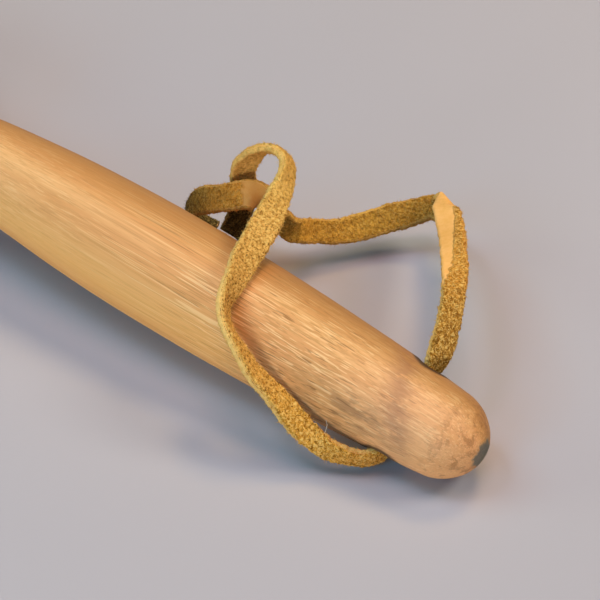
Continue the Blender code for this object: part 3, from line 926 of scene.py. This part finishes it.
def bradPlaces(x):
    # where each brad's head sits on the horn, and the way out of it
    step = 0.0005       # for the slope of the horn there: metres along it, radians round it
    places = []
    for k in range(bradSpec["perPlug"]):
        angle = bradSpec["firstAngle"] + 2 * math.pi * k / bradSpec["perPlug"]
        along = hornPoint(x + step, angle) - hornPoint(x - step, angle)
        around = hornPoint(x, angle - step) - hornPoint(x, angle + step)
        outward = along.cross(around).normalized()
        seat = hornPoint(x, angle) + outward * plugSpec["fit"]
        places.append(Matrix.Translation(seat) @ outward.to_track_quat("X", "Z").to_matrix().to_4x4())
    return places


def bradProfile():
    spec = bradSpec
    lip, radius, length = -spec["lipDrop"], spec["shankRadius"], spec["shankLength"]
    turns = [math.pi / 2 * k / spec["headSteps"] for k in range(spec["headSteps"] + 1)]
    head = [(spec["headHeight"] * math.cos(t), spec["headRadius"] * math.sin(t)) for t in turns]
    head.append((lip, spec["headRadius"] * spec["lipShare"]))
    return head + [(lip, radius), (-length, radius), (-length - spec["pointLength"], 0)]


def drillAt(places):
    # one cutter with a hole for each brad
    spec = bradSpec
    radius, depth = spec["shankRadius"] + plugSpec["fit"], spec["shankLength"] + spec["pointLength"]
    top = spec["drillReach"]
    drills = []
    for place in places:
        profile = [(top, 0), (top, radius), (-depth, radius), (-depth, 0)]
        drill = turnOnLathe("drill", profile, spec["drillSegments"])
        drill.matrix_world = place
        applyPlace(drill)
        drills.append(drill)
    return joinPieces(drills)


def makeHorn(places):
    spec = hornSpec
    piece = roundedRing("horn_wall", spec["segments"])
    drawRings([hornSection(-spec["length"] * k / spec["rings"]) for k in range(spec["rings"] + 1)])
    closeShell()
    addModifier(piece, "SOLIDIFY", thickness=spec["wall"], offset=-1, use_even_offset=True)
    easeEdges(piece, spec["rimEase"], spec["rimSegments"])
    cutOut(piece, drillAt(places))
    pushOut(piece, hornRidge)
    smoothShade(piece)
    setOnAxis(piece, "horn", "rattle", "horn_shell")
    print("horn triangles", countTriangles(piece))
    return piece


def makePlug(name, node, outside, inside, places):
    spec = plugSpec
    inset, rings = hornSpec["wall"] + spec["fit"], spec["rings"]
    piece = roundedRing(name, spec["segments"])
    drawRings([hornSection(outside + (inside - outside) * k / rings, inset) for k in range(rings + 1)])
    bpy.ops.mesh.select_all(action="SELECT")
    bpy.ops.mesh.fill_holes(sides=0)
    closeShell()
    selectFaces(piece, lambda face: abs(face.normal.x) > 0.9)
    for step in spec["faceInsets"]:
        bpy.ops.mesh.inset(thickness=step, depth=0)
    bpy.ops.object.mode_set(mode="OBJECT")
    radius = handleSpec["tenonRadius"] + spec["fit"]
    low, high = min(outside, inside) - spec["boreReach"], max(outside, inside) + spec["boreReach"]
    bore = [(low, 0), (low, radius), (high, radius), (high, 0)]
    cutOut(piece, turnOnLathe("bore", bore, spec["boreSegments"]))
    easeEdges(piece, spec["ease"], spec["easeSegments"])
    cutOut(piece, drillAt(places))
    roughen(piece, **spec["uneven"])
    smoothShade(piece)
    setOnAxis(piece, "plug_wood", "rattle", node)
    return piece


def makeBrads(nodePrefix, places):
    spec = bradSpec
    pattern = turnOnLathe("brad_pattern", bradProfile(), spec["segments"])
    roughen(pattern, **spec["uneven"])   # hammered a little out of true
    smoothShade(pattern, spec["shadeAngle"])
    made = []
    for k, place in enumerate(places):
        brad = pattern.copy()
        brad.data = pattern.data.copy()
        brad.name = f"{nodePrefix}_{k + 1}_domed"
        scene.collection.objects.link(brad)
        brad.matrix_world = place @ Matrix.Rotation(spec["twist"] * k, 4, "X")
        applyPlace(brad)
        setOnAxis(brad, "brass", "rattle", f"{nodePrefix}_{k + 1}")
        made.append(brad)
    bpy.data.objects.remove(pattern, do_unlink=True)
    return made


def makePebbles():
    # lumpy balls, each brought to the box of its CAD node
    spec = pebbleSpec
    made = []
    for node in sorted(n for n in frame["nodes"] if n.startswith("pebble_")):
        low, high = (Vector(corner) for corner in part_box(node))
        deselectAll()
        bpy.ops.mesh.primitive_ico_sphere_add(subdivisions=spec["subdivisions"], radius=1)
        piece = bpy.context.object
        piece.name = f"{node}_worn"
        points = piece.data.vertices
        seed = spec["seedStep"] * int(node[-2:])
        shifts = [Vector((seed, 0, 0)), Vector((0, seed, 0)), Vector((0, 0, seed))]
        for v in points:
            rows = zip(spec["lumps"], shifts)
            v.co *= 1 + sum(size * noise.noise(v.co * often + shift) for (size, often), shift in rows)
        spans = [(min(v.co[i] for v in points), max(v.co[i] for v in points)) for i in range(3)]
        for v in points:
            for i, (least, most) in enumerate(spans):
                share = spec["margin"] + (1 - 2 * spec["margin"]) * (v.co[i] - least) / (most - least)
                v.co[i] = low[i] + (high[i] - low[i]) * share
        piece.data.update()
        smoothShade(piece, spec["shadeAngle"])
        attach(piece, node)
        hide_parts(node)
        made.append(piece)
    return made


baseOut = -plugSpec["baseInset"]
baseIn = baseOut - plugSpec["thickness"]
crownOut = -hornSpec["length"] - plugSpec["crownProud"]
crownIn = crownOut + plugSpec["thickness"]
basePlaces = bradPlaces((baseOut + baseIn) / 2)
crownPlaces = bradPlaces((crownOut + crownIn) / 2)
horn = makeHorn(basePlaces + crownPlaces)
plugs = [makePlug("throat_plug", "base_plug", baseOut, baseIn, basePlaces),
         makePlug("end_plug", "crown_plug", crownOut, crownIn, crownPlaces)]
brads = makeBrads("base_brad", basePlaces) + makeBrads("crown_brad", crownPlaces)
pebbles = makePebbles()
print("head done")


# finishes; the handle's wood comes first
woodSpec = {
    "pale": linear(236, 176, 110),
    "middle": linear(222, 156, 90),
    "deep": linear(195, 136, 71),
    "pink": linear(228, 160, 99),
    "streak": linear(254, 206, 142),
    "pore": linear(138, 86, 40),
    "paintedShade": linear(170, 120, 66),
    # painted light for the grip's lower front side
    "paintedLight": linear(252, 180, 92),
    "blush": linear(246, 178, 128),
    # painted shade for the back of the grip
    "stain": linear(156, 102, 70),
    # beside the near strand: its stain together with its painted shadow
    "rubbedAndShaded": linear(140, 106, 66),
    "darkMark": linear(108, 74, 46),
    # grime and painted shade round the mouths of the hole
    "grimeAndShade": linear(54, 38, 28),
    "centre": linear(88, 92, 82),
}
# where the wood changes, from a first value to a second: millimetres from the rounded end, from the hole
# or from the axis, and, for a side, degrees round the grip from its top
woodPlaces = {
    "crisp": (112, 66),
    # beside the near strand, where its stain and its painted shadow go
    "wornShadedSide": (45, 85),
    "wornShadedStart": (70, 48),
    "wornShadedStop": (8, 22),
    # painted shade along the back of the grip
    "paintedShadeSide": (22, -42),
    "paintedShadeUnderside": (-150, -110),
    # painted light along the lower front side
    "paintedLightSide": (35, 95),
    "paintedLightUnderside": (170, 140),
    "paintedLightStart": (40, 75),
    "blush": (42, 16),
    "blushSide": (-10, 20),
    "stainFarSide": (-60, -20),
    "stainNearSide": (115, 60),
    # grime and painted shade round the mouths of the hole
    "grimeAndShade": (6.4, 4.9),
    "dome": (14, 3),
    "centre": (4.3, 2.6),
    "centreDepth": (3.6, 1.4),
}
stainSpec = {"fromEnd": 23.3, "lean": 0.085, "reach": 3.3, "ragged": 5}      # lean: millimetres in a degree
marksSpec = {"fromEnd": 28, "length": 9, "around": 68, "spread": 13}         # millimetres, degrees


def turnedWood():
    wood = woodSpec
    material, paint = newFinish("turned wood", {"Specular IOR Level": 0.3})
    coords = axisCoords(paint)
    x, y, z = split(coords)
    fromEnd = handleSpec["gripLength"] / mm - x
    across = (y * y + z * z) ** 0.5
    around = paint.math("ARCTAN2", -1 * y, z) * math.degrees(1)

    def over(value, place):
        return ease(value, *woodPlaces[place])

    # soft bands, fine fibres and thin pale streaks, all drawn out along the grain
    wander = grainCloud(coords, 0.010, 0.06, detail=2)
    bands = grainCloud(coords, 0.008, 0.24, (5, 2, 1), detail=3, roughness=0.5)
    fibre = grainCloud(coords, 0.035, 1.3, detail=3, roughness=0.6, distortion=0.3)
    fine = grainCloud(coords, 0.045, 2.8, (3, 1, 7), detail=2, roughness=0.5)
    fleck = grainCloud(coords, 0.034, 2.8, (8, 5, 2), detail=1, roughness=0.5)
    crisp = over(fromEnd, "crisp")
    # worn covers the side beside the near strand: its stain and its painted shadow, with stronger pores
    worn = over(around, "wornShadedSide") * over(fromEnd, "wornShadedStart") * over(fromEnd, "wornShadedStop")

    colour = mixColour(ease(bands, 0.34, 0.66), wood["pale"], wood["middle"])
    colour = mixColour(ease(wander, 0.42, 0.62) * 0.45, colour, wood["pink"])
    colour = mixColour(ease(fibre, 0.48, 0.68) * (0.26 + 0.14 * crisp), colour, wood["deep"])
    colour = mixColour(ease(fine, 0.54, 0.60) * (0.26 + 0.32 * crisp), colour, wood["deep"])
    flecks = ease(fleck, 0.585, 0.625)
    colour = mixColour(flecks * (0.28 + 0.42 * crisp), colour, wood["streak"])
    thin = ease(fine, 0.42 + 0.04 * worn, 0.36 + 0.03 * worn)
    pores = thin * ease(fibre, 0.45 - 0.10 * worn, 0.54 - 0.06 * worn)
    colour = mixColour(pores * (0.16 + 0.46 * crisp + 0.33 * worn), colour, wood["pore"])

    # painted shade along the back of the grip, painted light along its lower front side, and a blush near
    # the end
    paintedShade = over(around, "paintedShadeSide") * over(around, "paintedShadeUnderside")
    colour = mixColour(paintedShade * 0.88, colour, wood["paintedShade"])
    # painted light on the lower front side, stronger away from the rounded end
    paintedLight = over(around, "paintedLightSide") * over(around, "paintedLightUnderside")
    colour = mixColour(paintedLight * (0.15 + 0.40 * over(fromEnd, "paintedLightStart")), colour, wood["paintedLight"])
    colour = mixColour(over(fromEnd, "blush") * over(around, "blushSide") * 0.40, colour, wood["blush"])

    # the band that the lace has rubbed and stained, from one mouth of the hole to the other
    ragged = grainCloud(coords, 0.22, 0.35, detail=4, roughness=0.6)
    bandAt = fromEnd + stainSpec["lean"] * around - stainSpec["fromEnd"]
    band = bell(bandAt + stainSpec["ragged"] * (ragged - 0.5), stainSpec["reach"]) * ease(ragged, 0.26, 0.52)
    band = band * over(around, "stainFarSide") * over(around, "stainNearSide")
    colour = mixColour(band * 0.55, colour, wood["stain"])

    # grime round the mouths of the cross hole, and painted shade in the gaps where the lace goes in
    rise = handleSpec["holeRise"]
    beside = z * math.cos(rise) - y * math.sin(rise) + handleSpec["holeOffAxis"] / mm
    fromHole = ((fromEnd - handleSpec["holeFromEnd"] / mm) ** 2 + beside ** 2) ** 0.5
    grimeAndShade = over(fromHole + 1.6 * (ragged - 0.5), "grimeAndShade")
    colour = mixColour(grimeAndShade * 0.90, colour, wood["grimeAndShade"])

    # the side beside the near strand, darker and greyer: partly the stain it has rubbed in, partly its
    # painted shadow; and a few dark marks on it
    patchy = grainCloud(coords, 0.16, 0.5, (2, 2, 5))
    colour = mixColour(worn * (0.10 + 0.24 * ease(patchy, 0.35, 0.62)), colour, wood["rubbedAndShaded"])
    marks = bell(fromEnd - marksSpec["fromEnd"], marksSpec["length"])
    marks = marks * bell(around - marksSpec["around"], marksSpec["spread"])
    colour = mixColour(marks * ease(patchy, 0.50, 0.60) * 0.42, colour, wood["darkMark"])

    # end grain on the dome, and the dark mark of the lathe's centre
    mottle = cloud(coords, 0.40, detail=4, roughness=0.60, distortion=0.5)
    dome = over(fromEnd, "dome")
    colour = mixColour(dome * 0.25, colour, wood["deep"])
    colour = mixColour(dome * ease(mottle, 0.50, 0.62) * 0.45, colour, wood["pore"])
    colour = mixColour(dome * ease(mottle, 0.48, 0.34) * 0.35, colour, wood["pale"])
    centre = over(across + 5.0 * (mottle - 0.5), "centre") * over(fromEnd, "centreDepth")
    colour = mixColour(centre * 0.90, colour, wood["centre"])

    grain = fibre * 0.4 + fine * 0.6 + flecks * 0.25 - pores * 0.7 + dome * mottle * 0.8
    feed(material, Base_Color=colour, Roughness=0.60 - 0.10 * fibre + 0.12 * pores,
         Normal=bump(grain, strength=0.30, distance=0.00030))
    return material


suedeSpec = {
    "pit": linear(108, 66, 10),
    "fibre": linear(252, 212, 122),
    "smooth": linear(255, 191, 112),
    "cut": linear(240, 192, 112),
    "stray": linear(236, 226, 200),
    "sheen": linear(250, 214, 140),
    "reach": 200,               # millimetres of run that the tones are spread over
}
# tones of the nap, each with its tufts and the hollows between them
napTones = {
    "amber": (linear(234, 162, 62), linear(180, 114, 32)),
    "straw": (linear(236, 180, 92), linear(186, 132, 54)),
    "wheat": (linear(246, 198, 104), linear(200, 150, 66)),
    "ochre": (linear(226, 168, 66), linear(172, 118, 38)),
    "rust": (linear(222, 146, 52), linear(170, 104, 28)),
    "bronze": (linear(200, 142, 54), linear(140, 92, 28)),
    # brown and umber stand for painted shade where the strands use them
    "brown": (linear(187, 131, 46), linear(130, 84, 24)),
    "shadowUmber": (linear(82, 64, 28), linear(48, 40, 18)),
}
# the tones along a strand, at millimetres of its run, and where its nap calms down
strandTones = {
    # near: from 130 mm on it darkens to umber, painted shadow where its end goes down behind the other
    # strand
    "near": [(0, "amber"), (16, "amber"), (36, "ochre"), (60, "straw"), (90, "straw"), (102, "wheat"),
             (130, "straw"), (146, "shadowUmber")],
    # far: brown at 80 to 88 mm is the fold's painted shade, and from 150 mm on it darkens through brown to
    # umber, the tail's painted shadow behind the grip
    "far": [(0, "bronze"), (27, "bronze"), (38, "amber"), (70, "amber"), (80, "brown"), (88, "brown"),
            (104, "ochre"), (126, "ochre"), (138, "rust"), (150, "rust"), (160, "brown"), (170, "shadowUmber")],
}
strandCalm = {"near": (90, 112), "far": (70, 84)}


def suede(side):
    # tones along the run, tufts and pits of the nap that calm down, smooth skin and pale cut edges
    spec, tones = suedeSpec, strandTones[side]
    constants = {"Roughness": 0.95, "Specular IOR Level": 0.10, "Sheen Weight": 0.05,
                 "Sheen Roughness": 0.6, "Sheen Tint": (*spec["sheen"], 1)}
    material, paint = newFinish(f"{side} suede", constants)
    lace = paint.node("ShaderNodeAttribute", {"attribute_name": "lace"}, output="Vector")
    run, _, nap = split(lace)
    along = run / spec["reach"]
    ramps = [[(at / spec["reach"], napTones[tone][k]) for at, tone in tones] for k in (0, 1)]
    light, dark = [paint.node("ShaderNodeValToRGB", {"stops": stops}, {0: along}) for stops in ramps]
    coords = tableCoords(paint)
    tuft = cloud(coords, 1.15, detail=4, roughness=0.68)
    pits = cloud(coords, 1.75, detail=3, roughness=0.62, distortion=0.7)
    broad = cloud(coords, 0.16, detail=2)
    coarse = 1 - 0.70 * ease(run, *strandCalm[side])

    colour = mixColour(ease(tuft, 0.34, 0.62), dark, light)
    colour = mixColour(ease(broad, 0.42, 0.62) * 0.25, colour, dark)
    colour = mixColour(ease(pits, 0.44, 0.36) * coarse * 0.90, colour, spec["pit"])
    colour = mixColour(ease(pits, 0.51, 0.60) * coarse * 0.65, colour, spec["fibre"])

    # what the lace attribute's last value says: skin, a bare patch, a cut edge, a fibre or the stray hair
    smooth = mixColour(ease(broad, 0.35, 0.65) * 0.3 + ease(tuft, 0.40, 0.65) * 0.2, spec["smooth"], light)
    smooth = mixColour(ease(nap, 0.02, 0.16) * 0.45, smooth, dark)
    colour = mixColour(ease(nap, 0.55, 0.10) * ease(nap, -0.30, -0.10), colour, smooth)
    colour = mixColour(ease(nap, -0.5, -0.9) * coarse * 0.75, colour, spec["cut"])
    hair = mixColour(ease(tuft, 0.4, 0.6), light, spec["fibre"])
    colour = mixColour(ease(nap, 1.4, 1.8) * (0.15 + 0.60 * coarse), colour, hair)
    colour = mixColour(ease(nap, 2.4, 2.8), colour, spec["stray"])

    rough = ease(nap, 0.1, 0.5)
    height = tuft * rough + pits * rough * 0.8
    feed(material, Base_Color=colour, Normal=bump(height, strength=0.55, distance=0.0005))
    return material


hornTones = [(0.0, linear(24, 17, 12)), (0.42, linear(46, 31, 20)), (0.56, linear(92, 62, 36)),
             (0.68, linear(150, 110, 66)), (0.82, linear(204, 172, 122))]      # from the darkest streaks


def hornFinish():
    material, paint = newFinish("polished horn", {"Specular IOR Level": 0.5, "Coat Roughness": 0.2})
    coords = axisCoords(paint)
    x = split(coords)[0]
    streak = grainCloud(coords, 0.016, 0.10, detail=5, roughness=0.6, distortion=0.8)
    hairline = grainCloud(coords, 0.03, 1.3, (4, 9, 1), detail=3, roughness=0.6)
    layer = grainCloud(coords, 0.25, 0.03, (1, 2, 8))
    depth = streak * 0.8 + hairline * 0.18 + layer * 0.12 - 0.10 + x * 0.0009     # darker towards the crown
    colour = depth.node("ShaderNodeValToRGB", {"stops": hornTones}, {0: depth})
    scratch = grainCloud(coords, 0.6, 2.6, (7, 7, 7), detail=2)
    wear = ease(cloud(coords, 0.12), 0.45, 0.65)
    height = hairline * 0.5 + layer * 0.6 + scratch * 0.25
    feed(material, Base_Color=colour, Roughness=0.26 + 0.16 * wear + 0.10 * scratch,
         Coat_Weight=0.25 - 0.15 * wear, Normal=bump(height, strength=0.25, distance=0.0004))
    return material


plugTones = {
    "early": linear(168, 122, 78),
    "late": linear(118, 78, 46),
    "darkRay": linear(84, 54, 32),
    "paleRay": linear(192, 150, 102),
}
pithSpec = {"y": -7.0, "z": 12.0, "warp": 4.0, "ringsInMillimetre": 0.62}


def plugFinish():
    material, paint = newFinish("plug wood", {"Specular IOR Level": 0.25})
    coords = axisCoords(paint)
    _, y, z = split(coords)
    warp = grainCloud(coords, 0.03, 0.12)
    fromPith = ((y - pithSpec["y"]) ** 2 + (z - pithSpec["z"]) ** 2) ** 0.5
    ring = paint.math("FRACT", (fromPith + pithSpec["warp"] * warp) * pithSpec["ringsInMillimetre"])
    ring = ease(ring, 0.0, 0.85) * ease(ring, 1.0, 0.88)
    ray = grainCloud(coords, 0.2, 1.7, (2, 6, 4), detail=3, roughness=0.6)
    colour = mixColour(ring, plugTones["early"], plugTones["late"])
    colour = mixColour(ease(ray, 0.50, 0.68) * 0.5, colour, plugTones["darkRay"])
    colour = mixColour(ease(ray, 0.44, 0.30) * 0.35, colour, plugTones["paleRay"])
    feed(material, Base_Color=colour, Roughness=0.62 + 0.15 * ray,
         Normal=bump(ring * 0.5 + ray, strength=0.35, distance=0.0004))
    return material


brassTones = {"bright": linear(196, 160, 92), "tarnish": linear(112, 82, 44)}


def brassFinish():
    material, paint = newFinish("dulled brass", {"Metallic": 1.0})
    coords = tableCoords(paint)
    tarnish = cloud(coords, 0.9, detail=4, roughness=0.6)
    nick = cloud(coords, 3.5, detail=2)
    colour = mixColour(ease(tarnish, 0.42, 0.64), brassTones["bright"], brassTones["tarnish"])
    feed(material, Base_Color=colour, Roughness=0.30 + 0.35 * tarnish,
         Normal=bump(nick, strength=0.2, distance=0.0001))
    return material


stoneTones = {
    "grey": linear(150, 142, 130),
    "brown": linear(122, 98, 78),
    "speck": linear(72, 66, 62),
    "vein": linear(206, 198, 184),
}


def stoneFinish():
    material, paint = newFinish("river pebble", {"Specular IOR Level": 0.35})
    coords = tableCoords(paint)
    bodyTone = cloud(coords, 0.09, detail=1)
    grainTone = cloud(coords, 3.0, detail=4, roughness=0.65)
    vein = cloud(coords, 0.5, detail=3, roughness=0.5, distortion=1.2)
    colour = mixColour(ease(bodyTone, 0.35, 0.65), stoneTones["grey"], stoneTones["brown"])
    colour = mixColour(ease(grainTone, 0.50, 0.68) * 0.5, colour, stoneTones["speck"])
    colour = mixColour(ease(vein, 0.56, 0.60) * ease(vein, 0.66, 0.61) * 0.6, colour, stoneTones["vein"])
    feed(material, Base_Color=colour, Roughness=0.55 + 0.2 * grainTone,
         Normal=bump(grainTone, strength=0.25, distance=0.0002))
    return material


def dress(pieces, material):
    for piece in pieces:
        piece.data.materials.clear()
        piece.data.materials.append(material)


dress([handle], turnedWood())
for side, pieces in thong.items():
    dress(pieces, suede(side))
dress([horn], hornFinish())
dress(plugs + [wedge], plugFinish())
dress(brads, brassFinish())
dress(pebbles, stoneFinish())
print("materials done")


# table and light
tableSpec = {"size": 4.0, "colour": (0.486, 0.446, 0.460), "shade": 0.96, "mottle": 9.0, "drop": 0.0002}
# soft lamps round the table: bearing from +X, height and width in degrees, watts of each colour
lampDistance = 1.5
lampSpec = {
    "key": {"bearing": 96, "height": 61, "width": 14, "power": (6.2, 4.5, 2.1)},
    "back_right": {"bearing": 41, "height": 46, "width": 21, "power": (9.0, 8.8, 7.9)},
    "ceiling": {"bearing": 37, "height": 88, "width": 26, "power": (6.6, 4.8, 4.6)},
    "left_high": {"bearing": 216, "height": 68, "width": 12, "power": (1.6, 1.9, 2.8)},
    "left": {"bearing": 200, "height": 54, "width": 26, "power": (2.0, 4.4, 5.5)},
    "left_low": {"bearing": 214, "height": 26, "width": 22, "power": (2.3, 2.7, 2.1)},
    "front": {"bearing": 268, "height": 35, "width": 28, "power": (0.8, 3.4, 5.8)},
    "front_low": {"bearing": 292, "height": 8, "width": 14, "power": (8.8, 8.6, 8.6)},
}


def layTable():
    deselectAll()
    bpy.ops.mesh.primitive_plane_add(size=tableSpec["size"], location=(0, 0, -tableSpec["drop"]))
    table = bpy.context.object
    table.name = "table"
    material, paint = newFinish("table top", {"Roughness": 0.9, "Specular IOR Level": 0.05})
    mottle = cloud(paint.node("ShaderNodeTexCoord", output="Object"), tableSpec["mottle"])
    shaded = [c * tableSpec["shade"] for c in tableSpec["colour"]]
    feed(material, Base_Color=mixColour(mottle, tableSpec["colour"], shaded))
    dress([table], material)


def hangLamp(name, spec):
    target = Vector((cameraSpec["target"][0], 0, 0))
    bearing, height = math.radians(spec["bearing"]), math.radians(spec["height"])
    flat = Vector((math.cos(bearing), math.sin(bearing), 0))
    place = target + lampDistance * (flat * math.cos(height) + Vector((0, 0, math.sin(height))))
    bpy.ops.object.light_add(type="AREA", location=place)
    lamp = bpy.context.object
    lamp.name = name
    lamp.rotation_euler = (target - place).to_track_quat("-Z", "Y").to_euler()
    lamp.data.shape = "DISK"
    lamp.data.size = 2 * lampDistance * math.tan(math.radians(spec["width"] / 2))
    lamp.data.energy = max(spec["power"])
    lamp.data.color = [p / max(spec["power"]) for p in spec["power"]]


def lightRoom():
    for name, spec in lampSpec.items():
        hangLamp(name, spec)
    scene.world = bpy.data.worlds.new("room")
    scene.world.use_nodes = True
    scene.world.node_tree.nodes["Background"].inputs["Strength"].default_value = 0


layTable()
lightRoom()
scene.view_settings.view_transform = "Standard"
print("table and light done")
